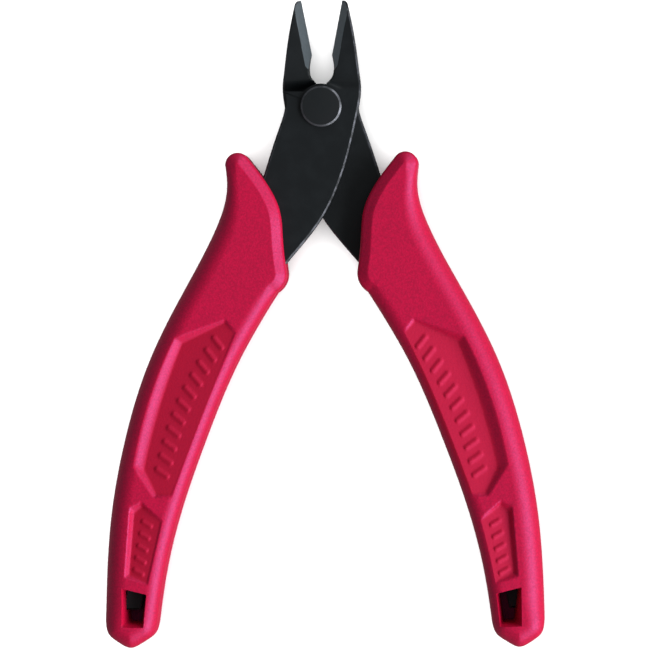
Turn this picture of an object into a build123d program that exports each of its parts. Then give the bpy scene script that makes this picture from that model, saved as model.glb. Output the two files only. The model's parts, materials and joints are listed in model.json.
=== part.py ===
from build123d import *
from math import cos, radians, sin
import os

# Flush cut pliers: two stamped levers lapped on a rivet, a hidden spring and two moulded grips.
#
# The pliers lie flat. +Y points to the jaw tips, +X to the right jaw, +Z up from the rest plane.
# Both levers are one stamping and both grips one moulding: each rear piece is the front piece
# turned half a turn about +Y. So each is drawn once, from the pivot in the lap plane, with its
# jaw on the +x side, its handle on the -x side and its own plate above the lap plane. Each half
# then stands a little further open than it is drawn.

# ---- driving dimensions, mm and degrees ----
PIVOT_Y = 42.42  # pivot ahead of the middle of the pliers' length
GRIP_T = 11.6  # grip thickness
PLATE_T = 3.0  # lever plate thickness
LAP_GAP = 0.05  # oil gap between the two plates
HALF_OPEN = 10.5  # each cutting edge's angle from the centre line, as drawn
OPEN_TURN = 0.375  # each half's turn beyond that when open
CLOSING_TRAVEL = 2 * (HALF_OPEN + OPEN_TURN)
HEEL_R = 10.4  # heel of the cutting edge, from the pivot
TIP_R = 21.3  # tip of the cutting edge, from the pivot
BEVEL_W = 1.6  # bevel width seen from the front
EDGE_LAND = 0.15  # thickness left at the cutting edge
JAW_TAPER = 0.3  # front face lost between the heel and the tip
JOGGLE_START_Y = 3.0  # the plate steps here from the lap level ...
JOGGLE_END_Y = 5.6  # ... to the jaw level here
SHOULDER_Y = 2.9  # opening stop beside the joggle
EAR_R = 4.45  # round ear of the plate about the rivet
EAR_RELIEF = 0.2  # room for the other lever's ear
THROAT_ANGLE = 12.0  # where the throat leaves the ear, from the centre line

SHANK_R = 2.5
SHANK_CLEARANCE = 0.05  # radial, in the front lever only
HEAD_R = 4.0
HEAD_T = 0.9
HEAD_CROWN = 0.12
HEAD_CHAMFER = 0.3

WIRE_R = 0.4
SPRING_R = 3.3
RECESS_OUTER_R = 3.85
RECESS_INNER_R = 2.8
RECESS_DEPTH = 0.5
SPRING_LEG = 1.9  # from the lap plane to a leg's end
LEG_HOLE_R = 0.5
FIXED_LEG_ANGLE = 200.0  # leg held in the rear lever, from +x
MOVING_LEG_ANGLE = -100.0  # leg that pushes on the front lever, from +x

GRIP_EDGE_ROUND = 1.8
WINDOW_WEB = 1.2  # web left in the window below the tang's end
NOSE_RELIEF_T = PLATE_T + 0.2  # room in the nose for the other lever's edge
BEVEL_START_R = EAR_R + 1.0  # the bevel's grinding begins here, in the throat

# ---- grip outline, from the horn round the outer side, the butt, the inner side and the nose ----
HORN_OUT = (-18.75, -11.4)
HORN_TOP = (-16.7, -9.1)
HORN_IN = (-14.35, -10.1)
BUTT_OUT = (-42.3, -100.5)
BUTT_IN = (-32.0, -100.8)
CORNER_LOW = (-8.7, -36.4)
CORNER_HIGH = (-6.72, -32.2)

# ---- sunk panels and the window at the butt: rims on the face, floors below it ----
LONG_RIM = ((-28.5, -45.1), (-18.6, -41.6), (-16.4, -44.1), (-28.9, -76.4), (-32.7, -76.4), (-36.7, -70.4))
LONG_RIM_MID = (-33.4, -57.0)
LONG_FLOOR = ((-27.1, -46.4), (-18.7, -42.3), (-17.0, -44.4), (-29.3, -75.9), (-32.1, -75.9), (-34.5, -71.0))
LONG_FLOOR_MID = (-31.3, -58.2)
# each floor's rise along x, its rise along y, and its level over the face at the pivot
LONG_SLOPE = (0.126, -0.0487, -0.232)
SMALL_RIM = ((-37.4, -78.3), (-35.1, -77.3), (-30.8, -80.9), (-33.7, -93.6), (-38.4, -92.1))
SMALL_FLOOR = ((-36.5, -79.6), (-34.9, -78.2), (-31.3, -81.2), (-34.0, -93.1), (-37.4, -91.5))
SMALL_SLOPE = (0.156, -0.0356, 1.725)
WINDOW = ((-38.9, -94.2), (-34.0, -95.4), (-34.6, -101.7), (-38.9, -101.7))
PANELS_IN = 1.0  # the panels and window of the turned-over side lie this much further in
WINDOW_AT_TANG = ((-38.9, -94.2), (-34.0, -95.4), (-34.25, -98.5), (-38.9, -98.5))
NOSE_RELIEF = (
    (-5.0, -34.0), (-8.0, -31.0), (-8.4, -25.0), (-9.1, -20.0), (-10.6, -16.6), (-15.2, -10.5),
    (-12.0, -7.0), (-4.0, -20.0),
)

# ---- worked out from them ----
MID_Z = GRIP_T / 2
PAST_TANG = -110.0  # side-view cuts reach past the plan outline: behind the tang ...
PAST_TIP = 24.0  # ... ahead of the jaw tip ...
PAST_SIDES = 60.0  # ... and to each side
PLATE_TOP = LAP_GAP / 2 + PLATE_T
JOGGLE_STEP = PLATE_TOP - PLATE_T / 2
TURN_X, TURN_Y = cos(radians(OPEN_TURN)), sin(radians(OPEN_TURN))
FRONT = Plane(origin=(0, PIVOT_Y, MID_Z), x_dir=(TURN_X, -TURN_Y, 0), z_dir=(0, 0, 1))
REAR = Plane(origin=(0, PIVOT_Y, MID_Z), x_dir=(-TURN_X, -TURN_Y, 0), z_dir=(0, 0, -1))


def polar(radius, from_centre_line):
    """A point this far from the pivot, turned this many degrees from +y to the jaw side."""
    angle = radians(from_centre_line)
    return radius * sin(angle), radius * cos(angle)


EDGE_HEEL = polar(HEEL_R, HALF_OPEN)
EDGE_TIP = polar(TIP_R, HALF_OPEN)
EAR_LEFT = (-((EAR_R**2 - SHOULDER_Y**2) ** 0.5), SHOULDER_Y)
EAR_TOP = polar(EAR_R, -15)
EAR_RIGHT = polar(EAR_R, THROAT_ANGLE)
JAW_BACK_TOP = (5.05, 20.1)
JAW_FOOT = (7.3, 0.0)
SHOULDER_END = (-7.3, SHOULDER_Y)
TANG_END_IN = (-35.4, -98.5)
TANG_END_OUT = (-38.6, -98.5)


def side_plane(face):
    """Plane of the lever's side view: x runs along the lever, y stands off the lap plane."""
    return Plane(origin=face.origin, x_dir=face.y_dir, z_dir=face.x_dir)


def lever_plan(face):
    """Plan outline of the stamping, as a sketch below the whole plate."""
    with BuildSketch(face.offset(-PLATE_T)) as plan:
        with BuildLine():
            Line(EDGE_HEEL, EDGE_TIP)
            ThreePointArc(EDGE_TIP, (4.62, 20.78), JAW_BACK_TOP)
            Spline(JAW_BACK_TOP, (5.6, 17.6), (6.5, 12.7), (7.08, 8.4), (7.45, 5.6), (7.66, 4.0), JAW_FOOT)
            Spline(
                JAW_FOOT, (6.2, -5.3), (3.8, -13.9), (0.45, -21.3), (-7.1, -31.0),
                (-18.8, -49.6), (-25.6, -65.3), (-31.2, -80.9), TANG_END_IN,
            )
            Line(TANG_END_IN, TANG_END_OUT)
            Spline(
                TANG_END_OUT, (-36.0, -82.0), (-32.4, -68.0), (-28.0, -54.0), (-17.0, -30.5),
                (-11.4, -14.0), (-8.2, -4.1), (-7.05, 0.6), SHOULDER_END,
            )
            Line(SHOULDER_END, EAR_LEFT)
            ThreePointArc(EAR_LEFT, EAR_TOP, EAR_RIGHT)
            Spline(EAR_RIGHT, (1.45, 5.05), (2.1, 5.95), (2.35, 7.3), EDGE_HEEL)
        make_face()
    return plan.sketch


def bevel_section(face, front):
    """Cross-section of what is ground off a jaw, at right angles to its cutting edge."""
    out_x, out_y = polar(1, HALF_OPEN)
    along_edge = face.x_dir * out_x + face.y_dir * out_y
    into_jaw = face.x_dir * out_y - face.y_dir * out_x
    origin = face.origin + along_edge * BEVEL_START_R
    section = Plane(origin=origin, x_dir=into_jaw, z_dir=along_edge)
    up = front if section.y_dir.Z * face.z_dir.Z > 0 else -front
    land = up * (EDGE_LAND - PLATE_T / 2)
    high = land + up * 2 * PLATE_T
    across = BEVEL_W * 2 * PLATE_T / (PLATE_T - EDGE_LAND)
    with BuildSketch(section) as ground:
        with BuildLine():
            Polyline((-BEVEL_W, land), (0, land), (across, high), (-BEVEL_W, high), close=True)
        make_face()
    return ground.sketch


def lever(face, front):
    """One lever. front is 1 if the jaw's bevelled side is the plate's own side, else -1."""
    with BuildPart() as blank:
        # the plate's side view, stepped at the joggle, cut to the plan outline
        with BuildSketch(side_plane(face)):
            with BuildLine():
                low = LAP_GAP / 2
                Polyline(
                    (PAST_TANG, low), (JOGGLE_START_Y, low), (JOGGLE_END_Y, low - JOGGLE_STEP),
                    (PAST_TIP, low - JOGGLE_STEP), (PAST_TIP, PLATE_TOP - JOGGLE_STEP),
                    (JOGGLE_END_Y, PLATE_TOP - JOGGLE_STEP), (JOGGLE_START_Y, PLATE_TOP),
                    (PAST_TANG, PLATE_TOP), close=True,
                )
            make_face()
        extrude(amount=PAST_SIDES, both=True)
        column = extrude(lever_plan(face), amount=3 * PLATE_T, dir=face.z_dir, mode=Mode.PRIVATE)
        add(column, mode=Mode.INTERSECT)
        # the joggle clears the other lever's ear, and this lever's ear stays flat
        with BuildSketch(face.offset(LAP_GAP / 2)):
            Circle(EAR_R + EAR_RELIEF)
        extrude(amount=-PLATE_T, mode=Mode.SUBTRACT)
        with BuildSketch(face.offset(LAP_GAP / 2)):
            Circle(EAR_R)
        extrude(amount=PLATE_T)
        # the jaw's front face thins to the tip
        with BuildSketch(side_plane(face)):
            with BuildLine():
                level = front * PLATE_T / 2
                thin = front * (PLATE_T / 2 - JAW_TAPER)
                Polyline((HEEL_R, level), (TIP_R, thin), (TIP_R, 2 * level), (HEEL_R, 2 * level), close=True)
            make_face()
        extrude(amount=PAST_SIDES, both=True, mode=Mode.SUBTRACT)
        # the bevel runs down to the cutting edge and dies out in the throat
        add(extrude(bevel_section(face, front), amount=TIP_R, mode=Mode.PRIVATE), mode=Mode.SUBTRACT)
        # recess for the spring in the lap face
        with BuildSketch(face):
            Circle(RECESS_OUTER_R)
            Circle(RECESS_INNER_R, mode=Mode.SUBTRACT)
        extrude(amount=RECESS_DEPTH, mode=Mode.SUBTRACT)
    return blank.part


# middle line of the slot for the spring's moving leg, long enough for the whole closing travel
LEG_PATH = CenterArc((0, 0), SPRING_R, MOVING_LEG_ANGLE - CLOSING_TRAVEL, CLOSING_TRAVEL)

with BuildPart() as front_lever:
    add(lever(FRONT, 1))
    with BuildSketch(FRONT):
        Circle(SHANK_R + SHANK_CLEARANCE)
    extrude(amount=2 * PLATE_T, mode=Mode.SUBTRACT)
    with BuildSketch(FRONT):
        SlotArc(LEG_PATH, 2 * LEG_HOLE_R)
    extrude(amount=SPRING_LEG + LEG_HOLE_R, mode=Mode.SUBTRACT)
front_lever.part.label = "front_lever"

with BuildPart() as rear_lever:
    add(lever(REAR, -1))
    with BuildSketch(REAR):
        Circle(SHANK_R)
    extrude(amount=2 * PLATE_T, mode=Mode.SUBTRACT)
    with BuildSketch(REAR):
        with PolarLocations(SPRING_R, 1, start_angle=180 - FIXED_LEG_ANGLE):
            Circle(LEG_HOLE_R)
    extrude(amount=SPRING_LEG + LEG_HOLE_R, mode=Mode.SUBTRACT)
rear_lever.part.label = "rear_lever"

# rivet with two like heads: chamfered rim and a slightly crowned face
with BuildPart() as pivot_rivet:
    with BuildSketch(Plane(origin=FRONT.origin, x_dir=(1, 0, 0), z_dir=(0, -1, 0))):
        with BuildLine():
            front_seat = PLATE_TOP + LAP_GAP
            front_rim = front_seat + HEAD_T - HEAD_CROWN
            rear_seat = -PLATE_TOP
            rear_rim = rear_seat - HEAD_T + HEAD_CROWN
            Polyline(
                (0, rear_rim - HEAD_CROWN), (HEAD_R - HEAD_CHAMFER, rear_rim),
                (HEAD_R, rear_rim + HEAD_CHAMFER), (HEAD_R, rear_seat), (SHANK_R, rear_seat),
                (SHANK_R, front_seat), (HEAD_R, front_seat), (HEAD_R, front_rim - HEAD_CHAMFER),
                (HEAD_R - HEAD_CHAMFER, front_rim), (0, front_rim + HEAD_CROWN), close=True,
            )
        make_face()
    revolve(axis=Axis(FRONT.origin, (0, 0, 1)))
pivot_rivet.part.label = "pivot_rivet"

# return spring: most of a turn of wire round the shank, one leg down in the rear lever's hole
# and one leg up in the front lever's slot
with BuildPart() as return_spring:
    with BuildLine():
        ring = CenterArc((0, PIVOT_Y, MID_Z), SPRING_R, MOVING_LEG_ANGLE, FIXED_LEG_ANGLE - MOVING_LEG_ANGLE)
    with BuildSketch(Plane(origin=ring @ 0, z_dir=ring % 0)):
        Circle(WIRE_R)
    sweep()
    for corner, side in ((ring @ 0, 1), (ring @ 1, -1)):
        with Locations(corner):
            Sphere(WIRE_R)
        with BuildSketch(Plane(origin=corner, z_dir=(0, 0, side))):
            Circle(WIRE_R)
        extrude(amount=SPRING_LEG)
return_spring.part.label = "return_spring"


def grip_plan(face):
    """Plan outline of the moulding on the given plane."""
    with BuildSketch(face) as plan:
        with BuildLine():
            Spline(
                HORN_OUT, (-18.4, -15.3), (-20.8, -24.1), (-26.9, -35.9), (-33.7, -49.6), (-38.6, -65.3),
                (-41.35, -80.9), BUTT_OUT,
            )
            Spline(
                BUTT_OUT, (-41.7, -103.3), (-39.8, -104.9), (-37.3, -106.0), (-34.9, -104.9),
                (-32.8, -103.3), BUTT_IN,
            )
            Spline(BUTT_IN, (-31.1, -94.0), (-28.2, -80.9), (-22.9, -65.3), (-16.3, -49.6), CORNER_LOW)
            ThreePointArc(CORNER_LOW, (-7.0, -34.4), CORNER_HIGH)
            Spline(CORNER_HIGH, (-7.4, -26.5), (-8.1, -20.2), (-9.6, -16.7), HORN_IN)
            ThreePointArc(HORN_IN, HORN_TOP, HORN_OUT)
        make_face()
    return plan.sketch


def sloping(top, mirrored, slope):
    """Plane of a panel's sloping floor under a grip's top plane."""
    rise_x, rise_y, level = slope
    if mirrored < 0:
        rise_x, level = -rise_x, level - rise_x * PANELS_IN
    normal = top.z_dir - top.x_dir * rise_x - top.y_dir * rise_y
    return Plane(origin=top.origin + top.z_dir * level, x_dir=top.x_dir + top.z_dir * rise_x, z_dir=normal)


def long_panel(face, outer_mid, corners):
    """Outline of the long sunk panel: five corners and a bowed outer side."""
    with BuildSketch(face) as outline:
        with BuildLine():
            Polyline(*corners)
            ThreePointArc(corners[-1], outer_mid, corners[0])
        make_face()
    return outline.sketch


def polygon(face, corners):
    """Straight-sided outline on the given plane."""
    with BuildSketch(face) as outline:
        with BuildLine():
            Polyline(*corners, close=True)
        make_face()
    return outline.sketch


def grip(face):
    """One grip moulding, panelled on both sides, with its tang slot still filled."""
    with BuildPart() as moulding:
        extrude(grip_plan(face.offset(-GRIP_T / 2)), amount=GRIP_T)
        fillet(moulding.faces().filter_by(Plane.XY).edges(), GRIP_EDGE_ROUND)
        turned_over = Plane(origin=face.origin, x_dir=-face.x_dir, z_dir=-face.z_dir)
        for side, mirrored in ((face, 1), (turned_over, -1)):
            top = side.offset(GRIP_T / 2)

            def seen(points):
                return [(x, y) if mirrored > 0 else (-x - PANELS_IN, y) for x, y in points]

            rim_mid, floor_mid = seen((LONG_RIM_MID, LONG_FLOOR_MID))
            rim, floor = seen(LONG_RIM), seen(LONG_FLOOR)
            sloped = sloping(top, mirrored, LONG_SLOPE)
            sections = [long_panel(top, rim_mid, rim), long_panel(sloped, floor_mid, floor)]
            loft(sections, ruled=True, mode=Mode.SUBTRACT)
            sloped = sloping(top, mirrored, SMALL_SLOPE)
            sections = [polygon(top, seen(SMALL_RIM)), polygon(sloped, seen(SMALL_FLOOR))]
            loft(sections, ruled=True, mode=Mode.SUBTRACT)
            extrude(polygon(side.offset(WINDOW_WEB / 2), seen(WINDOW)), amount=GRIP_T, mode=Mode.SUBTRACT)
        # beside the tang the web between the windows is open
        extrude(polygon(face.offset(-WINDOW_WEB / 2), WINDOW_AT_TANG), amount=WINDOW_WEB, mode=Mode.SUBTRACT)
        # under the nose, on the other lever's side, the grip stands back from that lever's edge
        extrude(polygon(face, NOSE_RELIEF), amount=-NOSE_RELIEF_T, mode=Mode.SUBTRACT)
    return moulding.part


with BuildPart() as left_grip:
    add(grip(FRONT))
    add(front_lever.part, mode=Mode.SUBTRACT)
left_grip.part.label = "left_grip"

with BuildPart() as right_grip:
    add(grip(REAR))
    add(rear_lever.part, mode=Mode.SUBTRACT)
right_grip.part.label = "right_grip"

os.makedirs("parts", exist_ok=True)
for piece in (front_lever, rear_lever, pivot_rivet, return_spring, left_grip, right_grip):
    export_step(piece.part, "parts/" + piece.part.label + ".step")
    print(piece.part.label, len(piece.part.solids()), "solid", round(piece.part.volume), "mm3")
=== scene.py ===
"""Flush cut pliers: ground and moulded skins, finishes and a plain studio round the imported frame.

Plan shapes are written once, in millimetres from the pivot, for the front half: its jaw is on the
+x side and its handle on the -x side. The rear half is the front half turned about the y axis.
Each half then stands a little further open than it is drawn.
"""
import json
import logging
from dataclasses import dataclass
from enum import Enum
from math import cos, pi, radians, sin

import bpy
import numpy as np
from mathutils import Euler, Matrix, Vector


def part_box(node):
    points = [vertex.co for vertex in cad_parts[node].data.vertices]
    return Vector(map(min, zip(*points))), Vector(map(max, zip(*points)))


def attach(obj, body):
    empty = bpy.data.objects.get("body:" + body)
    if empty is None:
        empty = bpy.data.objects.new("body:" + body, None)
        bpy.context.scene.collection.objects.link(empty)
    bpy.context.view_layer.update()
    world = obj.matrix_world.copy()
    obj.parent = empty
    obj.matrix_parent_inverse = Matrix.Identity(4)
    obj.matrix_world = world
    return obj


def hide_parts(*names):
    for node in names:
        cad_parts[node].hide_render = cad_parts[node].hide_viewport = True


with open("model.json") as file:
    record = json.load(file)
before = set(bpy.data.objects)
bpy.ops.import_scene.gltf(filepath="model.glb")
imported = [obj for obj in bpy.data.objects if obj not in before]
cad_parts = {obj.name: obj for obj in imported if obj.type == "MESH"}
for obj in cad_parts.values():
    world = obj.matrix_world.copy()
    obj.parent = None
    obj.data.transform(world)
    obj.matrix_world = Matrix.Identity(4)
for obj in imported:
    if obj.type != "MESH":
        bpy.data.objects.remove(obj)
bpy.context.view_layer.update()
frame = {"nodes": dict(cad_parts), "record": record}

logging.basicConfig(level=logging.INFO, format="%(message)s")
LOG = logging.getLogger("pliers")

Array = np.ndarray
Colour = tuple[float, float, float]
Point = tuple[float, float]

MM = 0.001
PIVOT = np.array(frame["record"]["behaviour"]["joints"][0]["pos_m"])

# sizes that the skins share with the frame, mm
GRIP_HALF_T = (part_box("left_grip")[1][2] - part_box("left_grip")[0][2]) / MM / 2
PLATE_T = 3.0
LAP_GAP = 0.05
PLATE_MID = (PLATE_T + LAP_GAP) / 2
OPEN_TURN = 0.375


class Half(Enum):
    """The two halves of the pliers: which way x and z run in each, and its body and nodes."""

    FRONT = (1, "front_half", "front_lever", "left_grip")
    REAR = (-1, "rear_half", "rear_lever", "right_grip")

    @property
    def sign(self) -> int:
        """1 on the front half, -1 on the rear half, which is turned about the y axis."""
        return self.value[0]

    def stand(self, rings: Array, mirror_z: bool) -> Array:
        """Points of a piece drawn for the front half, put where this half stands when open.

        Args:
            rings: points in millimetres from the pivot.
            mirror_z: whether the rear half's heights run the other way.
        Returns:
            The points, mirrored for the rear half and turned about the pivot.
        """
        c, s = cos(radians(OPEN_TURN)), sin(radians(OPEN_TURN))
        turn = np.array([[c, -s, 0], [s, c, 0], [0, 0, 1]])
        return (rings @ turn) * np.array([self.sign, 1, self.sign if mirror_z else 1])

    @property
    def body(self) -> str:
        """Name of the body that the half's pieces ride on."""
        return self.value[1]

    @property
    def lever(self) -> str:
        """Name of the half's lever node."""
        return self.value[2]

    @property
    def grip(self) -> str:
        """Name of the half's grip node."""
        return self.value[3]


# ---------------------------------------------------------------- plan curves


def unit(vectors: Array) -> Array:
    """Vectors divided by their own lengths."""
    return vectors / np.maximum(np.linalg.norm(vectors, axis=-1, keepdims=True), 1e-12)


def smooth(value: Array) -> Array:
    """Smoothstep: 0 below 0, 1 above 1, and 3t^2 - 2t^3 between."""
    t = np.clip(value, 0.0, 1.0)
    return t * t * (3.0 - 2.0 * t)


def spline(*points: Point, per_span: int = 24) -> Array:
    """Natural cubic spline through the points, with the chord length as its parameter.

    Args:
        points: the points it passes through.
        per_span: samples between two points.
    Returns:
        The samples, one row each.
    """
    p = np.array(points, float)
    t = np.concatenate([[0.0], np.cumsum(np.linalg.norm(np.diff(p, axis=0), axis=1))])
    h = np.diff(t)
    slopes = np.diff(p, axis=0) / h[:, None]
    system = np.eye(len(p))
    inner = np.arange(1, len(p) - 1)
    system[inner, inner - 1] = h[:-1]
    system[inner, inner] = 2 * (h[:-1] + h[1:])
    system[inner, inner + 1] = h[1:]
    right = np.zeros_like(p)
    right[1:-1] = 6 * np.diff(slopes, axis=0)
    bend = np.linalg.solve(system, right)
    at = np.linspace(0, t[-1], per_span * (len(p) - 1) + 1)
    k = np.clip(np.searchsorted(t, at, side="right") - 1, 0, len(p) - 2)
    a, b, span = (t[k + 1] - at)[:, None], (at - t[k])[:, None], h[k][:, None]
    cubic = (bend[k] * a**3 + bend[k + 1] * b**3) / (6 * span)
    return cubic + (p[k] / span - bend[k] * span / 6) * a + (p[k + 1] / span - bend[k + 1] * span / 6) * b


def arc(start: Point, through: Point, end: Point, count: int = 25) -> Array:
    """Circular arc through three points: its centre is where their bisectors cross.

    Args:
        start: first point.
        through: a point between the ends.
        end: last point.
        count: number of samples.
    Returns:
        The samples, one row each.
    """
    a, b, c = (np.array(p, float) for p in (start, through, end))
    system = 2 * np.array([b - a, c - a])
    centre = np.linalg.solve(system, np.array([b @ b - a @ a, c @ c - a @ a]))
    angles = [np.arctan2(*(p - centre)[::-1]) for p in (a, b, c)]
    turn = (angles[2] - angles[0]) % (2 * pi)
    if (angles[1] - angles[0]) % (2 * pi) > turn:
        turn -= 2 * pi
    sweep = angles[0] + turn * np.linspace(0, 1, count)
    return centre + np.linalg.norm(a - centre) * np.stack([np.cos(sweep), np.sin(sweep)], axis=1)


class Chain:
    """Plan curves joined end to end, measured by their length."""

    def __init__(self, *runs: Array) -> None:
        """Join the runs, each of which starts where the last one ends."""
        self.points = np.vstack([runs[0]] + [np.asarray(run)[1:] for run in runs[1:]])
        steps = np.linalg.norm(np.diff(self.points, axis=0), axis=1)
        self.at = np.concatenate([[0.0], np.cumsum(steps)])

    def place(self, point: Point) -> float:
        """Length along the chain of its sample nearest to a point."""
        return float(self.at[np.argmin(np.linalg.norm(self.points - np.array(point), axis=1))])

    def between(self, start: Point, end: Point, count: int, last: bool = False) -> Array:
        """Evenly spaced points between two places.

        Args:
            start: near the first place.
            end: near the last place.
            count: number of steps.
            last: whether to give the end point too.
        Returns:
            count points, or one more with the end point.
        """
        at = np.linspace(self.place(start), self.place(end), count + 1)
        at = at if last else at[:-1]
        return np.stack([np.interp(at, self.at, self.points[:, k]) for k in (0, 1)], axis=1)


def ladder(left: Chain, right: Chain, stations: list[tuple[Point, Point, int]]) -> tuple[Array, Array]:
    """Rows of a plan shape, as matching points down its left and right chains.

    Args:
        left: the side that has the shape on its left hand as it runs down.
        right: the side that has the shape on its right hand.
        stations: pairs of matching places, with the number of rows down to the next pair.
    Returns:
        The left and the right points, a row each.
    """
    sides = []
    for side, chain in ((0, left), (1, right)):
        spans = zip(stations[:-1], stations[1:])
        runs = [chain.between(a[side], b[side], a[2], last=b is stations[-1]) for a, b in spans]
        sides.append(np.vstack(runs))
    return sides[0], sides[1]


def inward(side: Array, turn: int) -> Array:
    """Unit normals into the shape: the side's direction turned a quarter, to the left for 1."""
    along = unit(np.gradient(side, axis=0))
    return turn * np.stack([-along[:, 1], along[:, 0]], axis=1)


def signed_distance(points: Array, outline: Array) -> tuple[Array, Array, Array]:
    """Distance to a closed outline, negative inside, by the nearest point of all its segments.

    Args:
        points: plan points, in any grid shape.
        outline: the outline's corners in order.
    Returns:
        The distances, the nearest points and the numbers of the nearest segments.
    """
    flat = points.reshape(-1, 1, 2)
    start, step = outline[None], (np.roll(outline, -1, axis=0) - outline)[None]
    t = np.clip(((flat - start) * step).sum(-1) / (step**2).sum(-1), 0, 1)
    foot = start + t[..., None] * step
    gap = np.linalg.norm(flat - foot, axis=-1)
    nearest = gap.argmin(axis=1)
    rows = np.arange(len(nearest))
    y, y0, y1 = flat[..., 1], start[..., 1], start[..., 1] + step[..., 1]
    crosses = (y0 > y) != (y1 > y)
    rise = np.where(np.abs(step[..., 1]) < 1e-12, 1e-12, step[..., 1])
    to_left = flat[..., 0] < start[..., 0] + (y - y0) / rise * step[..., 0]
    inside = (crosses & to_left).sum(axis=1) % 2 == 1
    distance = np.where(inside, -gap[rows, nearest], gap[rows, nearest])
    shape = points.shape[:-1]
    return distance.reshape(shape), foot[rows, nearest].reshape(*shape, 2), nearest.reshape(shape)


# ---------------------------------------------------------------- meshes


def skin(name: str, rings: Array, marks: dict[str, Array] | None = None, crease: float = 32.0) -> bpy.types.Object:
    """Closed mesh of a grid of rings: row i is a closed loop, and the first and last rows collapse.

    Points that coincide are merged, so the end rows close and the seam vanishes.

    Args:
        name: the piece's name.
        rings: rows x columns x 3 places, in millimetres from the pivot.
        marks: values to keep on the points, by attribute name.
        crease: edges that bend more than this many degrees stay sharp.
    Returns:
        The piece, at the origin, linked to the scene.
    """
    rows, columns = rings.shape[:2]
    keys = np.round(rings.reshape(-1, 3), 5)
    _, first, merged = np.unique(keys, axis=0, return_index=True, return_inverse=True)
    merged = merged.reshape(rows, columns)
    after = np.roll(merged, -1, axis=1)
    quads = np.stack([merged[:-1], after[:-1], after[1:], merged[1:]], axis=-1).reshape(-1, 4)
    whole = np.all(np.diff(np.sort(quads, axis=1), axis=1) > 0, axis=1)
    pinched = quads[~whole]
    corners = np.vstack([pinched[:, [0, 1, 2]], pinched[:, [0, 2, 3]]])
    corners = corners[np.all(np.diff(np.sort(corners, axis=1), axis=1) > 0, axis=1)]
    points = rings.reshape(-1, 3)[first]
    a, b, c, d = (points[quads[whole][:, k]] for k in range(4))
    volume = np.einsum("ij,ij->", np.cross(a, b), c) + np.einsum("ij,ij->", np.cross(a, c), d)
    if volume < 0:
        quads, corners = quads[:, ::-1], corners[:, ::-1]
    mesh = bpy.data.meshes.new(name)
    mesh.from_pydata(points * MM + PIVOT, [], quads[whole].tolist() + corners.tolist())
    mesh.validate()
    for mark, values in (marks or {}).items():
        attribute = mesh.attributes.new(mark, "FLOAT", "POINT")
        attribute.data.foreach_set("value", values.reshape(-1)[first].astype(np.float32))
    mesh.shade_smooth()
    mesh.set_sharp_from_angle(angle=radians(crease))
    piece = bpy.data.objects.new(name, mesh)
    bpy.context.scene.collection.objects.link(piece)
    return piece


def place_piece(piece: bpy.types.Object, body: str, node: str, material: bpy.types.Material) -> None:
    """Ride a piece on its body in place of a node, dress it and report it.

    Args:
        piece: the finished piece.
        body: the body it moves with.
        node: the frame node that it replaces.
        material: its finish.
    """
    piece.data.materials.append(material)
    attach(piece, body)
    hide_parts(node)
    LOG.info("%s: %d faces on %s for %s", piece.name, len(piece.data.polygons), body, node)


# ---------------------------------------------------------------- shader maths


class Sock:
    """A shader output that takes part in Python arithmetic: each operation adds a Math node."""

    def __init__(self, graph: "Graph", socket: bpy.types.NodeSocket) -> None:
        """Wrap one output socket of the graph."""
        self.graph, self.socket = graph, socket

    def _math(self, operation: str, *values: "Sock | float") -> "Sock":
        """One Math node on this or other values."""
        return self.graph.node("ShaderNodeMath", {"operation": operation}, dict(enumerate(values)))

    def __add__(self, other: "Sock | float") -> "Sock":
        """Sum."""
        return self._math("ADD", self, other)

    def __sub__(self, other: "Sock | float") -> "Sock":
        """Difference."""
        return self._math("SUBTRACT", self, other)

    def __rsub__(self, other: "Sock | float") -> "Sock":
        """Difference from a number."""
        return self._math("SUBTRACT", other, self)

    def __mul__(self, other: "Sock | float") -> "Sock":
        """Product."""
        return self._math("MULTIPLY", self, other)

    def __pow__(self, other: "Sock | float") -> "Sock":
        """Power."""
        return self._math("POWER", self, other)

    __radd__ = __add__
    __rmul__ = __mul__

    def rise(self, low: float, high: float) -> "Sock":
        """0 below low, 1 above high, smooth between."""
        values = {"Value": self, "From Min": low, "From Max": high}
        return self.graph.node("ShaderNodeMapRange", {"interpolation_type": "SMOOTHSTEP"}, values)


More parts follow.
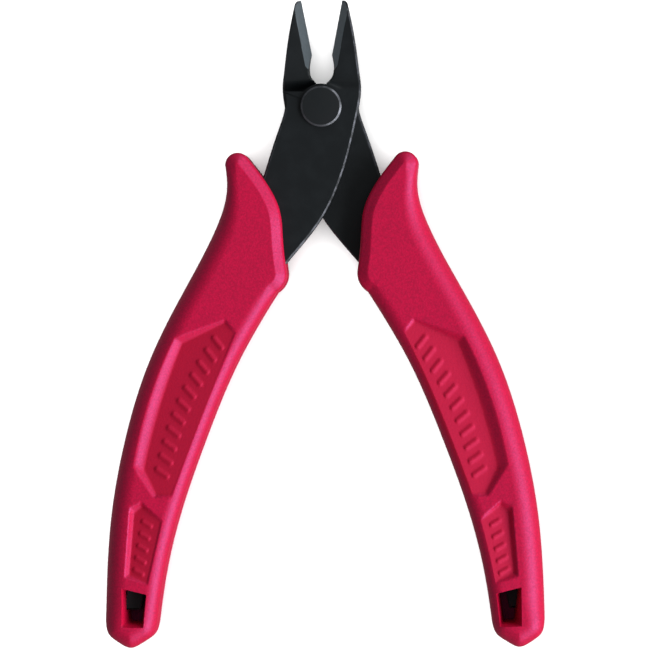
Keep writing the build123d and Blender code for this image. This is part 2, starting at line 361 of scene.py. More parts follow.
class Graph:
    """A material's nodes, made through one method."""

    MIX_FACTOR, MIX_LOW, MIX_HIGH, MIX_RESULT = 0, 6, 7, 2

    def __init__(self, name: str) -> None:
        """Start a material that holds only its shader and output."""
        self.material = bpy.data.materials.new(name)
        self.material.use_nodes = True
        self.tree = self.material.node_tree
        self.shader = self.tree.nodes["Principled BSDF"]
        self.coordinates = self.node("ShaderNodeTexCoord", {}, {}, "Object")

    def node(
        self, kind: str, settings: dict[str, object], values: dict[int | str, object], out: int | str = 0,
    ) -> Sock:
        """Any node: its settings first, then its sockets' values or links.

        Args:
            kind: the node's type.
            settings: the node's own properties.
            values: socket name or number to a wrapped socket, number, colour or vector.
            out: which output to give back.
        Returns:
            The wrapped output.
        """
        made = self.tree.nodes.new(kind)
        for key, value in settings.items():
            setattr(made, key, value)
        for key, value in values.items():
            self.feed(made.inputs[key], value)
        return Sock(self, made.outputs[out])

    def feed(self, socket: bpy.types.NodeSocket, value: object) -> None:
        """Link a wrapped socket to an input, or set the input to a value."""
        if isinstance(value, Sock):
            self.tree.links.new(value.socket, socket)
        else:
            socket.default_value = value

    def dress(self, **values: object) -> bpy.types.Material:
        """Set or link the shader's sockets, named with underscores for spaces, and give the material."""
        for key, value in values.items():
            self.feed(self.shader.inputs[key.replace("_", " ")], value)
        return self.material

    def noise(self, size_mm: float, detail: float = 3.0, rough: float = 0.55) -> Sock:
        """Noise from 0 to 1 with cells of about this many millimetres."""
        values = {"Vector": self.coordinates, "Scale": 1 / (size_mm * MM), "Detail": detail, "Roughness": rough}
        return self.node("ShaderNodeTexNoise", {}, values)

    def stretched_noise(self, size_mm: float, squeeze: tuple[float, float, float], angle: float) -> Sock:
        """Noise drawn out along one direction, for grinding and brushing marks.

        Args:
            size_mm: size of its cells across the marks.
            squeeze: scale along each axis after the turn.
            angle: turn about z, in degrees.
        Returns:
            The noise, from 0 to 1.
        """
        turned = self.node(
            "ShaderNodeMapping", {"vector_type": "POINT"},
            {"Vector": self.coordinates, "Rotation": (0.0, 0.0, radians(angle)), "Scale": squeeze},
        )
        return self.node("ShaderNodeTexNoise", {}, {"Vector": turned, "Scale": 1 / (size_mm * MM), "Detail": 2.0})

    def mix(self, factor: "Sock | float", low: "Sock | Colour", high: "Sock | Colour") -> Sock:
        """Blend of two colours. The node has sockets of one name for each type, so they go by number."""
        low, high = (end if isinstance(end, Sock) else (*end, 1.0) for end in (low, high))
        values = {self.MIX_FACTOR: factor, self.MIX_LOW: low, self.MIX_HIGH: high}
        return self.node("ShaderNodeMix", {"data_type": "RGBA"}, values, self.MIX_RESULT)

    def mark(self, name: str) -> Sock:
        """A value kept on the mesh's points."""
        return self.node("ShaderNodeAttribute", {"attribute_name": name}, {}, "Fac")

    def bump(self, height: "Sock", depth_mm: float, strength: float = 1.0) -> Sock:
        """Bump normal from a height of 0 to 1 that stands for this depth."""
        return self.node("ShaderNodeBump", {}, {"Height": height, "Distance": depth_mm * MM, "Strength": strength})


@dataclass(frozen=True)
class BlackenedSteel:
    """Black oxide on stamped steel, with bright ground bevels and bright edges that are partly wear and partly a
    painted highlight.
    """

    base: Colour = (0.0045, 0.0065, 0.0080)
    bloom: Colour = (0.0065, 0.0090, 0.0108)
    # edge colour: partly wear and partly a painted highlight on the levers' marked edges
    edge: Colour = (0.055, 0.058, 0.068)
    ground: Colour = (0.165, 0.200, 0.225)

    def build(self, name: str) -> bpy.types.Material:
        """Make the material: mottled oxide, a ground facet and a bright edge, partly wear and partly a painted
        highlight, by the point marks.
        """
        g = Graph(name)
        mottle = g.noise(3.2, 4.0)
        grain = g.noise(0.18, 2.0)
        oxide = g.mix(mottle.rise(0.42, 0.72), self.base, self.bloom)
        ground, edge = g.mark("ground"), g.mark("edge")
        # partly wear and partly painted highlight: the marked edges are painted bright grey metal, broken by noise
        rubbed_and_highlit = edge * g.noise(1.3, 3.0).rise(0.25, 0.65)
        lines = g.stretched_noise(0.12, (1.0, 0.06, 1.0), 79.0)
        facet = g.mix(lines.rise(0.3, 0.7), tuple(0.8 * c for c in self.ground), self.ground)
        colour = g.mix(rubbed_and_highlit, g.mix(ground, oxide, facet), self.edge)
        bright = ground + rubbed_and_highlit - ground * rubbed_and_highlit
        return g.dress(
            Base_Color=colour,
            Metallic=bright * 0.75,
            Roughness=0.46 + 0.10 * mottle - bright * 0.10,
            Specular_IOR_Level=0.22,
            Normal=g.bump(grain * 0.6 + lines * ground, 0.006),
        )


FRONT_STEEL = BlackenedSteel()
# painted light: the rear lever's oxide is a lighter copy of the front's, to lift the shade that the front plate and
# grip cast on it
REAR_STEEL_PAINTED_LIGHTER = BlackenedSteel(base=(0.0070, 0.0092, 0.0108), bloom=(0.0095, 0.0120, 0.0140))
RIVET_STEEL = BlackenedSteel(base=(0.0080, 0.0100, 0.0115), edge=(0.10, 0.105, 0.12))


@dataclass(frozen=True)
class MouldedPlastic:
    """Red handle plastic with a fine spark-eroded texture."""

    base: Colour = (0.560, 0.0020, 0.0370)
    deep: Colour = (0.345, 0.0012, 0.0210)
    # painted shade: a deeper, less pink red for the sunk panel floors, standing in for their shade and missing
    # sheen
    floor: Colour = (0.470, 0.0008, 0.0090)
    # painted shade: near-black red for the deep window pocket
    pocket_shade: Colour = (0.030, 0.0020, 0.0060)
    tint: Colour = (0.50, 0.36, 1.0)

    def build(self, name: str) -> bpy.types.Material:
        """Make the material: a slightly clouded red with a stipple of about 0.4 mm, a painted shade in the sunk
        panels and a near-black painted shade in the window pocket.
        """
        g = Graph(name)
        stipple = g.noise(0.38, 2.0, 0.7)
        cloud = g.noise(7.0, 3.0)
        floor = g.mix(0.7 * stipple, self.floor, self.deep)
        colour = g.mix(0.3 * cloud + 0.7 * stipple.rise(0.3, 0.7), self.base, self.deep)
        sunk = g.mark("sunk") ** 4.0
        # painted shade: the sunk panel floors take the deeper red
        colour = g.mix(0.9 * sunk, colour, floor)
        # painted shade: the window pocket is painted near black, for the shade deep inside it
        colour = g.mix(0.85 * g.mark("pocket") ** 4.0, colour, self.pocket_shade)
        return g.dress(
            Base_Color=colour,
            Roughness=0.42 + 0.12 * stipple + 0.22 * sunk,
            Specular_IOR_Level=0.62,
            Specular_Tint=(*self.tint, 1.0),
            Normal=g.bump(stipple, 0.045),
        )


@dataclass(frozen=True)
class SpringWire:
    """Drawn spring wire, oiled."""

    base: Colour = (0.46, 0.45, 0.43)

    def build(self, name: str) -> bpy.types.Material:
        """Make the material: grey metal with drawing marks."""
        g = Graph(name)
        marks = g.noise(0.25, 3.0)
        return g.dress(Base_Color=g.mix(marks, self.base, tuple(0.7 * c for c in self.base)), Metallic=1.0,
                       Roughness=0.28 + 0.1 * marks)


# ---------------------------------------------------------------- levers


@dataclass
class Lever:
    """One stamped lever: lap plate, joggled jaw with a ground bevel, and tang inside the grip."""

    half: Half
    half_open: float = 10.5
    heel_r: float = 10.4
    tip_r: float = 21.3
    bevel_w: float = 1.6
    edge_land: float = 0.15
    jaw_taper: float = 0.3
    ear_r: float = 4.45
    shoulder_y: float = 2.9
    joggle_y: tuple[float, float] = (3.0, 5.6)
    edge_break: float = 0.3
    edge_drop: float = 0.2
    throat_angle: float = 12.0
    ear_top_angle: float = 15.0

    def radial(self, radius: float) -> Point:
        """Point of the cutting edge's line at this distance from the pivot."""
        angle = radians(self.half_open)
        return radius * sin(angle), radius * cos(angle)

    def outline(self) -> tuple[Array, Array]:
        """Matching points down the inner and outer sides, from the jaw's tip to the tang's end."""
        tip, heel, apex, back = self.radial(self.tip_r), self.radial(self.heel_r), (4.62, 20.78), (5.05, 20.1)
        throat, ear_turn = radians(self.throat_angle), radians(self.ear_top_angle)
        ear_right = (self.ear_r * sin(throat), self.ear_r * cos(throat))
        ear_left = (-((self.ear_r**2 - self.shoulder_y**2) ** 0.5), self.shoulder_y)
        ear_top = (-self.ear_r * sin(ear_turn), self.ear_r * cos(ear_turn))
        shoulder, foot = (-7.3, self.shoulder_y), (7.3, 0.0)
        end_out, end_in, end_mid = (-38.6, -98.5), (-35.4, -98.5), (-37.0, -98.5)
        rounding = arc(tip, apex, back, 33)
        apex = tuple(rounding[16])
        left = Chain(
            rounding[16::-1],
            np.linspace(tip, heel, 60),
            spline(heel, (2.35, 7.3), (2.1, 5.95), (1.45, 5.05), ear_right),
            arc(ear_right, ear_top, ear_left, 60),
            np.linspace(ear_left, shoulder, 20),
            spline(shoulder, (-7.05, 0.6), (-8.2, -4.1), (-11.4, -14.0), (-17.0, -30.5), (-28.0, -54.0),
                   (-32.4, -68.0), (-36.0, -82.0), end_out),
            np.linspace(end_out, end_mid, 9),
        )
        right = Chain(
            rounding[16:],
            spline(back, (5.6, 17.6), (6.5, 12.7), (7.08, 8.4), (7.45, 5.6), (7.66, 4.0), foot),
            spline(foot, (6.2, -5.3), (3.8, -13.9), (0.45, -21.3), (-7.1, -31.0), (-18.8, -49.6),
                   (-25.6, -65.3), (-31.2, -80.9), end_in),
            np.linspace(end_in, end_mid, 9),
        )
        stations = [
            (apex, apex, 10), (tip, back, 64), (heel, (6.75, 11.0), 56), (ear_right, (7.66, 4.0), 44),
            (ear_left, (7.25, 0.8), 18), (shoulder, (6.75, -2.8), 60), ((-11.4, -14.0), (2.6, -17.2), 60),
            ((-22.4, -42.0), (-14.2, -42.0), 60), (end_out, end_in, 6), (end_mid, end_mid, 0),
        ]
        return ladder(left, right, stations)

    def joggle(self, plan: Array) -> Array:
        """How far the plate has stepped to the jaw's level: it rises with y, and not over the ear."""
        low, high = self.joggle_y
        clear_of_ear = smooth((np.linalg.norm(plan, axis=-1) - self.ear_r - 0.05) / 1.1)
        return smooth((plan[..., 1] - low) / (high - low)) * clear_of_ear

    def levels(self, plan: Array) -> tuple[Array, Array, Array]:
        """Heights of the front and back faces at plan points, and where the front face is ground.

        The bevel is a plane from the land at the cutting edge up to the front face, and it runs
        out obliquely in the throat.
        """
        middle = self.half.sign * PLATE_MID * (1 - self.joggle(plan))
        thin = self.jaw_taper * np.clip((plan[..., 1] - self.heel_r) / (self.tip_r - self.heel_r), 0, 1)
        front, back = middle + PLATE_T / 2 - thin, middle - PLATE_T / 2
        along, across = self.edge_frame(plan)
        facet = self.edge_land - PLATE_T / 2 + across * (PLATE_T - self.edge_land) / self.bevel_w
        reach = smooth((along - 5.5 - 1.75 * np.maximum(across, 0)) / 0.4)
        cut = np.maximum(front - facet, 0) * reach
        return front - cut, back, np.where(cut > 0.004, reach, 0.0)

    def edge_frame(self, plan: Array) -> tuple[Array, Array]:
        """Distance of plan points along the cutting edge from the pivot, and into the jaw from it."""
        out_x, out_y = self.radial(1.0)
        return plan[..., 0] * out_x + plan[..., 1] * out_y, plan[..., 0] * out_y - plan[..., 1] * out_x

    def build(self) -> bpy.types.Object:
        """Make the skin: rings of front face, broken edge, back face, broken edge down the ladder."""
        left, right = self.outline()
        into_left, into_right = inward(left, 1), inward(right, -1)
        along, across = self.edge_frame(left)
        sharp = (along > self.heel_r - 0.6) & (np.abs(across) < 0.2)
        bite = np.where(sharp, 0.03, self.edge_break)[:, None]
        drop = np.where(sharp, 0.03, self.edge_drop)[:, None]
        left_in, right_in = left + bite * into_left, right + self.edge_break * into_right
        span = right_in - left_in
        _, across_in = self.edge_frame(left_in)
        _, across_end = self.edge_frame(right_in)
        width = across_end - across_in
        border = (self.bevel_w - across_in) / np.where(np.abs(width) < 1e-6, 1.0, width)
        border = np.clip(np.where(left[:, 1] > 5.0, border, 0.15), 0.06, 0.9)[:, None]
        guard = 0.006
        first, rest = np.linspace(0, 1, 15)[None, 1:-1], np.linspace(0, 1, 44)[None, 1:-1]
        share = np.concatenate([
            np.zeros_like(border), guard + first * (border - 2 * guard), border - guard, border,
            border + rest * (1 - border - guard), np.full_like(border, 1 - guard), np.ones_like(border),
        ], axis=1)
        face = left_in[:, None] + share[..., None] * span[:, None]
        front, back, ground = self.levels(face)
        # partly painted highlight: the right-hand edge is marked bright all down the plate, where on the front
        # lever it faces the key lamp; the left edge is marked below the pivot as wear
        wear_and_highlight = np.zeros_like(ground)
        wear_and_highlight[:, -1] = 1.0
        wear_and_highlight[:, 0] = smooth(-left[:, 1] / 2.0)
        left_top, left_back, _ = self.levels(left)
        right_top, right_back, _ = self.levels(right)
        dent = self.edge_drop
        left_worn = smooth(-left[:, 1:] / 2.0)
        columns = [
            (face, front, ground, wear_and_highlight),
            # right-hand broken edge, marked bright: partly wear and partly painted highlight
            (right[:, None], (right_top - dent)[:, None], 0.0, 1.0),
            (right[:, None], (right_top - dent - 0.02)[:, None], 0.0, 0.0),
            (right[:, None], (right_back + dent + 0.02)[:, None], 0.0, 0.0),
            (right[:, None], (right_back + dent)[:, None], 0.0, 1.0),
            (face[:, ::-1], back[:, ::-1], 0.0, wear_and_highlight[:, ::-1]),
            (left[:, None], left_back[:, None] + drop, 0.0, left_worn),
            (left[:, None], left_back[:, None] + drop * 1.1, 0.0, 0.0),
            (left[:, None], left_top[:, None] - drop * 1.1, 0.0, 0.0),
            (left[:, None], left_top[:, None] - drop, 0.0, left_worn),
        ]
        rings = np.concatenate([np.concatenate([plan, z[..., None]], axis=-1) for plan, z, _, _ in columns], axis=1)
        marks = {
            name: np.concatenate([np.broadcast_to(c[k], c[1].shape) for c in columns], axis=1)
            for name, k in (("ground", 2), ("edge", 3))
        }
        rings = self.half.stand(rings, mirror_z=False)
        return skin(self.half.lever + "_plate", rings, marks)

    def dress(self, piece: bpy.types.Object, steel: bpy.types.Material) -> None:
        """Give the piece its finish, body and node."""
        place_piece(piece, self.half.body, self.half.lever, steel)


# ---------------------------------------------------------------- grips


@dataclass
class Grip:
    """One moulded grip: flat faces, sunk panels with raised ribs, a window and rounded sides."""

    half: Half
    outer_round: float = 4.1
    inner_round: float = 3.0
    horn_round: float = 1.9
    band: tuple[float, float] = (2.15, 1.35)
    rim_round: float = 0.55
    long_slope: tuple[float, float, float] = (0.126, -0.0487, -0.232)
    small_slope: tuple[float, float, float] = (0.156, -0.0356, 1.725)
    panels_in: float = 1.0
    web: tuple[float, float] = (0.4, 0.9)
    rib_height: float = 0.27
    nose_relief: float = 0.8
    parting_ridge: float = 0.07
    across: int = 112
    gather: float = 0.42
    snap: float = 0.09

    HORN_OUT = (-18.75, -11.4)
    HORN_TOP = (-16.7, -9.1)
    HORN_IN = (-14.35, -10.1)
    BUTT_OUT = (-42.3, -100.5)
    BUTT_LOW = (-37.3, -106.0)
    BUTT_IN = (-32.0, -100.8)
    CORNER_LOW = (-8.7, -36.4)
    CORNER_HIGH = (-6.72, -32.2)
    LONG_RIM = (
        (-28.5, -45.1), (-18.6, -41.6), (-16.4, -44.1), (-28.9, -76.4), (-32.7, -76.4), (-36.7, -70.4),
    )
    LONG_RIM_MID = (-33.4, -57.0)
    LONG_FLOOR = (
        (-27.1, -46.4), (-18.7, -42.3), (-17.0, -44.4), (-29.3, -75.9), (-32.1, -75.9), (-34.5, -71.0),
    )
    LONG_FLOOR_MID = (-31.3, -58.2)
    SMALL_RIM = ((-37.4, -78.3), (-35.1, -77.3), (-30.8, -80.9), (-33.7, -93.6), (-38.4, -92.1))
    SMALL_FLOOR = ((-36.5, -79.6), (-34.9, -78.2), (-31.3, -81.2), (-34.0, -93.1), (-37.4, -91.5))
    WINDOW = ((-38.9, -94.2), (-34.0, -95.4), (-34.6, -101.7), (-38.9, -101.7))
    WINDOW_FLOOR = ((-38.0, -94.8), (-34.6, -95.6), (-35.3, -100.9), (-37.2, -100.8))

    def outline(self) -> tuple[Array, Array]:
        """Matching points down the outer and inner sides, from the horn's top to the butt."""
        horn = arc(self.HORN_IN, self.HORN_TOP, self.HORN_OUT, 41)
        top = int(np.argmax(horn[:, 1]))
        butt = spline(
            self.BUTT_OUT, (-41.7, -103.3), (-39.8, -104.9), self.BUTT_LOW, (-34.9, -104.9), (-32.8, -103.3),
            self.BUTT_IN,
        )
        low = int(np.argmin(butt[:, 1]))
        outer = Chain(
            horn[top:],
            spline(self.HORN_OUT, (-18.4, -15.3), (-20.8, -24.1), (-26.9, -35.9), (-33.7, -49.6), (-38.6, -65.3),
                   (-41.35, -80.9), self.BUTT_OUT),
            butt[: low + 1],
        )
        inner = Chain(
            horn[top::-1],
            spline(self.HORN_IN, (-9.6, -16.7), (-8.1, -20.2), (-7.4, -26.5), self.CORNER_HIGH),
            arc(self.CORNER_HIGH, (-7.0, -34.4), self.CORNER_LOW),
            spline(self.CORNER_LOW, (-16.3, -49.6), (-22.9, -65.3), (-28.2, -80.9), (-31.1, -94.0), self.BUTT_IN),
            butt[:low - 1:-1],
        )
        apex, foot = tuple(horn[top]), tuple(butt[low])
        stations = [
            (apex, apex, 14), (self.HORN_OUT, self.HORN_IN, 26), ((-18.5, -16.5), (-9.4, -17.0), 44),
            ((-19.9, -21.8), self.CORNER_HIGH, 22), ((-22.3, -27.5), self.CORNER_LOW, 58),
            ((-30.3, -42.3), (-16.3, -49.6), 60), ((-36.7, -60.0), (-22.9, -65.3), 58),
            ((-41.0, -77.6), (-28.2, -80.9), 60), ((-42.1, -93.0), (-31.0, -93.5), 40),
            (self.BUTT_OUT, self.BUTT_IN, 20), (foot, foot, 0),
        ]
        return ladder(outer, inner, stations)

    def drop(self, plan: Array, outline: Array, radius: Array, banded: Array) -> Array:
        """How far the face falls towards the outline, as a function of the distance to it.

        A quarter circle of the local radius on the rounded sides, and a flat band with a small
        round at its rim on the nose, blended by the nearest outline point's share of band.
        """
        distance, _, nearest = signed_distance(plan, outline)
        d = np.maximum(-distance, 0)
        r = radius[nearest]
        round_side = r - np.sqrt(np.maximum(r**2 - np.maximum(r - d, 0) ** 2, 0))
        width, depth = self.band
        slope = depth * np.maximum(1 - d / width, 0)
        soft = 0.18
        slope = 0.5 * (slope + np.sqrt(slope**2 + soft**2)) - 0.5 * soft
        rim = self.rim_round
        rim_fall = rim - np.sqrt(np.maximum(rim**2 - np.maximum(rim - d, 0) ** 2, 0))
        share = banded[nearest]
        return share * (slope + rim_fall) + (1 - share) * round_side

    def bowed(self, corners: tuple[Point, ...], through: Point) -> Array:
        """Panel outline whose last side bows out through a point."""
        return np.vstack([np.array(corners[:-1]), arc(corners[-1], through, corners[0], 13)[:-1]])

    def sunk(self, plan: Array, rim: Array, floor: Array) -> Array:
        """Share of a sunk panel's depth: 1 inside its floor, and falling smoothly to 0 at its rim.

        The wall's share is the distance outside the floor over that plus the distance inside the rim.
        """
        outside_floor = np.maximum(signed_distance(plan, floor)[0], 0)
        inside_rim = np.maximum(-signed_distance(plan, rim)[0], 0)
        share = outside_floor / np.maximum(outside_floor + inside_rim, 1e-9)
        eased = 0.65 * share + 0.35 * smooth(share)
        return 1 - eased

    def below(self, plan: Array, slope: tuple[float, float, float], fall: Array) -> Array:
        """Depth of a panel's plane floor under the face as it already falls there, never above it."""
        rise_x, rise_y, level = slope
        return np.maximum(-(plan[..., 0] * rise_x + plan[..., 1] * rise_y + level) - fall, 0.0)

    def ribs(self, plan: Array) -> Array:
        """Raised ribs in the panels: rounded bars set across each panel's middle line."""
        height = np.zeros(plan.shape[:-1])
        middle = Chain(spline((-20.1, -46.2), (-26.9, -58.6), (-31.0, -71.6)))
        short = Chain(spline((-34.0, -81.6), (-34.8, -86.0), (-35.6, -91.0)))
        bars = [(middle, 11, 1.2, 0.42), (short, 5, 0.85, 0.38)]
        for chain, count, half_length, half_width in bars:
            at = np.linspace(0, chain.at[-1], count)
            centres = np.stack([np.interp(at, chain.at, chain.points[:, k]) for k in (0, 1)], axis=1)
            along = unit(np.gradient(centres, axis=0))
            across = np.stack([-along[:, 1], along[:, 0]], axis=1) * 0.94 + along * 0.34
            for centre, way in zip(centres, unit(across)):
                offset = plan - centre
                reach = np.clip(offset @ way, -half_length, half_length)
                away = np.linalg.norm(offset - reach[..., None] * way, axis=-1)
                height = np.maximum(height, self.rib_height * smooth((half_width - away) / 0.42 + 0.5))
        return height

    def snapped(self, plan: Array, window: Array) -> Array:
        """Plan points with those close to the window's rim moved onto it, for a crisp rim."""
        away, foot, _ = signed_distance(plan, window)
        return np.where((np.abs(away) < self.snap)[..., None], foot, plan)

    def hollowed(self, plan: Array, fall: Array) -> tuple[Array, Array, Array]:
        """Sink the panels and raise the ribs on one face.

        Args:
            plan: plan points, counted from where the panels are drawn.
            fall: how far the face already lies below its middle level at each point.
        Returns:
            The face's level, the share sunk and the window's share, at each point.
        """
        long_rim = self.bowed(self.LONG_RIM, self.LONG_RIM_MID)
        long_share = self.sunk(plan, long_rim, self.bowed(self.LONG_FLOOR, self.LONG_FLOOR_MID))
        small_share = self.sunk(plan, np.array(self.SMALL_RIM), np.array(self.SMALL_FLOOR))
        pocket = self.sunk(plan, np.array(self.WINDOW), np.array(self.WINDOW_FLOOR))
        fall = fall + long_share * self.below(plan, self.long_slope, fall)
        fall = fall + small_share * self.below(plan, self.small_slope, fall) - self.ribs(plan)
        return GRIP_HALF_T - fall, np.maximum(np.maximum(long_share, small_share), pocket), pocket

    def build(self) -> bpy.types.Object:
        """Make the skin: rings of front face, inner wall, back face and outer wall down the ladder."""
        outer, inner = self.outline()
        into_outer, into_inner = inward(outer, 1), inward(inner, -1)
        outline = np.vstack([outer, inner[-2:0:-1]])
        place_y = outline[:, 1]
        on_inner = np.arange(len(outline)) >= len(outer)
        nose = on_inner * smooth((place_y + 40.0) / 6.0)
        nose = np.where(on_inner, nose, smooth((place_y + 15.5) / 5.0))
        full = np.where(on_inner, self.inner_round, self.outer_round)
        radius = self.horn_round + (full - self.horn_round) * smooth((-11.0 - place_y) / 14.0)
        radius = np.where(place_y < -96, full + (3.4 - full) * smooth((-96 - place_y) / 7.0), radius)
        t = np.linspace(0, 1, self.across)
        share = (t - self.gather * np.sin(2 * pi * t) / (2 * pi))[None, :, None]
        flat = outer[:, None] * (1 - share) + inner[:, None] * share
        plan = self.snapped(flat, np.array(self.WINDOW))
        face, sunk, pocket = self.hollowed(plan, self.drop(plan, outline, radius, nose))
        front = face + (self.web[1] - face) * pocket
        over = np.array((self.panels_in, 0.0))
        back_plan = self.snapped(flat, np.array(self.WINDOW) + over)
        back_fall = self.drop(back_plan, outline, radius, nose)
        back_face, back_sunk, back_pocket = self.hollowed(back_plan - over, back_fall)
        back = -back_face + (self.web[0] + back_face) * back_pocket
        nose_side = nose[len(outer):][::-1]
        nose_side = np.concatenate([[nose_side[0]], nose_side, [nose_side[-1]]])
        inner_wall = self.wall(inner, into_inner, face[:, -1], self.nose_relief * nose_side)
        outer_wall = self.wall(outer, into_outer, face[:, 0], np.zeros(len(outer)))
        rings = np.concatenate([
            np.concatenate([plan, front[..., None]], axis=-1),
            inner_wall,
            np.concatenate([back_plan, back[..., None]], axis=-1)[:, ::-1],
            outer_wall[:, ::-1],
        ], axis=1)
        rings = self.half.stand(rings, mirror_z=True)
        plain = np.zeros(inner_wall.shape[:2])
        marks = {
            name: np.concatenate([front_mark, plain, back_mark[:, ::-1], plain], axis=1)
            for name, front_mark, back_mark in (("sunk", sunk, back_sunk), ("pocket", pocket, back_pocket))
        }
        return skin(self.half.grip + "_moulding", rings, marks, crease=40.0)

    def wall(self, side: Array, into: Array, top: Array, relief: Array) -> Array:
        """Side wall between the faces' rims, with a fine parting ridge at mid height.

        On the nose, at the other lever's level below the ridge, the wall stands back by the relief.

        Args:
            side: plan points of the side.
            into: unit normals into the grip.
            top: height of the face's rim.
            relief: how far the wall stands back beside the other lever.
        Returns:
            rows x levels x 3 points from top to bottom.
        """
        room = np.minimum(3.25, top - 0.05)
        zero, ridge = np.zeros_like(top), self.parting_ridge
        rows = [
            (0.6 * top + 0.12, zero + ridge), (zero + 0.22, zero + ridge), (zero + 0.1, zero), (zero - 0.02, zero),
            (zero - 0.06, np.maximum(relief, ridge)), (-0.5 * room, np.maximum(relief, ridge)),
            (-room, np.maximum(relief, ridge)), (-room - 0.02, zero + ridge),
        ]
        levels = [np.concatenate([side + into * inset[:, None], z[:, None]], axis=1) for z, inset in rows]
        return np.stack(levels, axis=1)

    def dress(self, piece: bpy.types.Object, plastic: bpy.types.Material) -> None:
        """Give the piece its finish, body and node."""
        place_piece(piece, self.half.body, self.half.grip, plastic)


# ---------------------------------------------------------------- rivet


@dataclass
class Rivet:
    """Pivot rivet with a crowned, chamfered head on each side."""

    shank_r: float = 2.5
    head_r: float = 4.0
    head_t: float = 0.9
    crown: float = 0.12
    chamfer_w: float = 0.38
    chamfer: float = 0.25
    around: int = 128

    def build(self) -> bpy.types.Object:
        """Make the skin: a profile turned about the pivot, crowned as 1 - (r / rim)^2."""
        rim = self.head_r - self.chamfer_w
        flat = np.linspace(0, rim, 22)
        top = PLATE_T + LAP_GAP * 1.5
        crowned = top + self.head_t - self.crown * (flat / rim) ** 2
        low = top + self.head_t - self.crown
        edge = [
            (rim + 0.02, low - 0.013, 1.0), (self.head_r - 0.03, low - self.chamfer + 0.02, 1.0),
            (self.head_r, low - self.chamfer, 0.0), (self.head_r, top, 0.0), (self.shank_r, top, 0.0),
        ]
        half = [(r, z, 0.0) for r, z in zip(flat, crowned)] + edge
        profile = np.array(half + [(r, -z, m) for r, z, m in reversed(half)])
        angle = np.linspace(0, 2 * pi, self.around, endpoint=False)
        turned = np.stack([
            profile[:, :1] * np.cos(angle), profile[:, :1] * np.sin(angle),
            np.broadcast_to(profile[:, 1:2], (len(profile), self.around)),
        ], axis=-1)
        edge_mark = np.broadcast_to(profile[:, 2:], turned.shape[:2])
        marks = {"edge": edge_mark, "ground": np.zeros(turned.shape[:2])}
        return skin("pivot_rivet_heads", turned, marks, crease=25.0)

    def dress(self, piece: bpy.types.Object, steel: bpy.types.Material) -> None:
        """Give the piece its finish, body and node."""
        place_piece(piece, Half.REAR.body, "pivot_rivet", steel)


# ---------------------------------------------------------------- studio


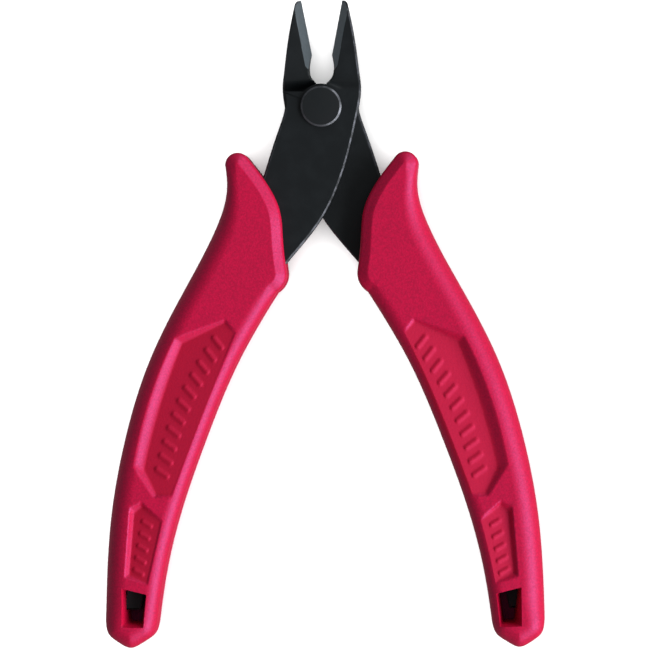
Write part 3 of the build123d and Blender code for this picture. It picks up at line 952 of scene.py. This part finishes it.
@dataclass
class Studio:
    """Plain white floor, soft lamps and a long-lens camera above that leans a little to the right."""

    frame_width: float = 0.1274
    centre: Point = (0.00059, -0.04273)
    roll: float = -0.375
    lean: float = 3.0
    distance: float = 0.9
    sensor: float = 36.0
    world: float = 0.27
    floor_z: float = -0.00005
    floor_reach: float = 3.0

    def floor(self) -> bpy.types.Object:
        """A wide pale sheet that the pliers lie on. It throws no light up, as a cut-out sheet."""
        mesh = bpy.data.meshes.new("studio_floor")
        far = self.floor_reach
        corners = [(x, y, self.floor_z) for x, y in ((-far, -far), (far, -far), (far, far), (-far, far))]
        mesh.from_pydata(corners, [], [(0, 1, 2, 3)])
        sheet = bpy.data.objects.new("studio_floor", mesh)
        bpy.context.scene.collection.objects.link(sheet)
        g = Graph("pale_paper")
        paper = g.noise(40.0, 2.0)
        mesh.materials.append(g.dress(
            Base_Color=g.mix(paper, (0.78, 0.78, 0.78), (0.80, 0.80, 0.80)), Roughness=0.9, Specular_IOR_Level=0.1))
        sheet.visible_diffuse = sheet.visible_glossy = False
        return sheet

    def light_floor(self, lamp: bpy.types.Object, sheet: bpy.types.Object, state: str) -> None:
        """Let a lamp light only the floor (INCLUDE) or everything else (EXCLUDE)."""
        group = bpy.data.collections.new(lamp.name + "_floor")
        group.objects.link(sheet)
        lamp.light_linking.receiver_collection = group
        group.collection_objects[0].light_linking.link_state = state

    def sky(self, sheet: bpy.types.Object) -> None:
        """A broad even light straight down on the floor, for its white and its soft shadows."""
        light = bpy.data.lights.new("floor_wash", "SUN")
        light.angle, light.energy = radians(100), 6.5
        lamp = bpy.data.objects.new("floor_wash", light)
        bpy.context.scene.collection.objects.link(lamp)
        self.light_floor(lamp, sheet, "INCLUDE")

    def lamp(self, name: str, place: tuple[float, float, float], size: float, power: float) -> bpy.types.Object:
        """A square soft lamp aimed at the pliers.

        Args:
            name: the lamp's name.
            place: where it hangs, in metres.
            size: its side, in metres.
            power: watts.
        Returns:
            The lamp.
        """
        light = bpy.data.lights.new(name, "AREA")
        light.size, light.energy = size, power
        lamp = bpy.data.objects.new(name, light)
        lamp.location = place
        z_axis = unit(np.array(place, float))
        x_axis = unit(np.cross((0.0, 1.0, 0.1), z_axis))
        turn = np.stack([x_axis, np.cross(z_axis, x_axis), z_axis], axis=1)
        lamp.rotation_euler = Matrix(turn.tolist()).to_euler()
        bpy.context.scene.collection.objects.link(lamp)
        return lamp

    def camera(self) -> None:
        """Camera that looks down at the lap plane, leaning right, with the frame's width across it."""
        lens = bpy.data.cameras.new("camera")
        lens.type, lens.sensor_width = "PERSP", self.sensor
        lens.lens = self.sensor * self.distance / self.frame_width
        camera = bpy.data.objects.new("camera", lens)
        c, s = cos(radians(self.roll)), sin(radians(self.roll))
        x, y = self.centre
        back = Vector((0.0, 0.0, self.distance))
        turn = Euler((0.0, radians(self.lean), 0.0)).to_matrix()
        turn.rotate(Euler((0.0, 0.0, radians(self.roll))))
        camera.location = Vector((x * c - y * s, PIVOT[1] + x * s + y * c, PIVOT[2])) + turn @ back
        camera.rotation_euler = turn.to_euler()
        bpy.context.scene.collection.objects.link(camera)
        bpy.context.scene.camera = camera

    def build(self) -> None:
        """Set up the floor, lamps, surroundings and camera."""
        self.camera()
        sheet = self.floor()
        self.sky(sheet)
        for lamp in (
            self.lamp("key_right", (2.00, -0.50, 1.15), 1.7, 74.0),
            self.lamp("key_low", (1.25, -1.75, 1.00), 1.2, 22.0),
            self.lamp("key_high", (1.30, 1.75, 1.00), 1.2, 20.0),
        ):
            self.light_floor(lamp, sheet, "EXCLUDE")
        scene = bpy.context.scene
        scene.view_settings.view_transform = "Standard"
        scene.world = bpy.data.worlds.new("soft_room")
        scene.world.use_nodes = True
        background = scene.world.node_tree.nodes["Background"]
        background.inputs["Color"].default_value = (1.0, 1.0, 1.0, 1.0)
        background.inputs["Strength"].default_value = self.world
        LOG.info("studio: lens %.0f mm at %.2f m", scene.camera.data.lens, self.distance)


def main() -> None:
    """Build the studio, then each half's lever and grip, the rivet and the spring's finish."""
    Studio().build()
    steels = {
        Half.FRONT: FRONT_STEEL.build("blackened_steel_front"),
        Half.REAR: REAR_STEEL_PAINTED_LIGHTER.build("blackened_steel_rear_painted_lighter"),
    }
    plastic = MouldedPlastic().build("moulded_red_plastic")
    for half in Half:
        lever, grip = Lever(half), Grip(half)
        lever.dress(lever.build(), steels[half])
        grip.dress(grip.build(), plastic)
    rivet = Rivet()
    rivet.dress(rivet.build(), RIVET_STEEL.build("blackened_rivet"))
    spring = frame["nodes"]["return_spring"]
    spring.data.materials.clear()
    spring.data.materials.append(SpringWire().build("drawn_spring_wire"))


if __name__ == "__main__":
    main()
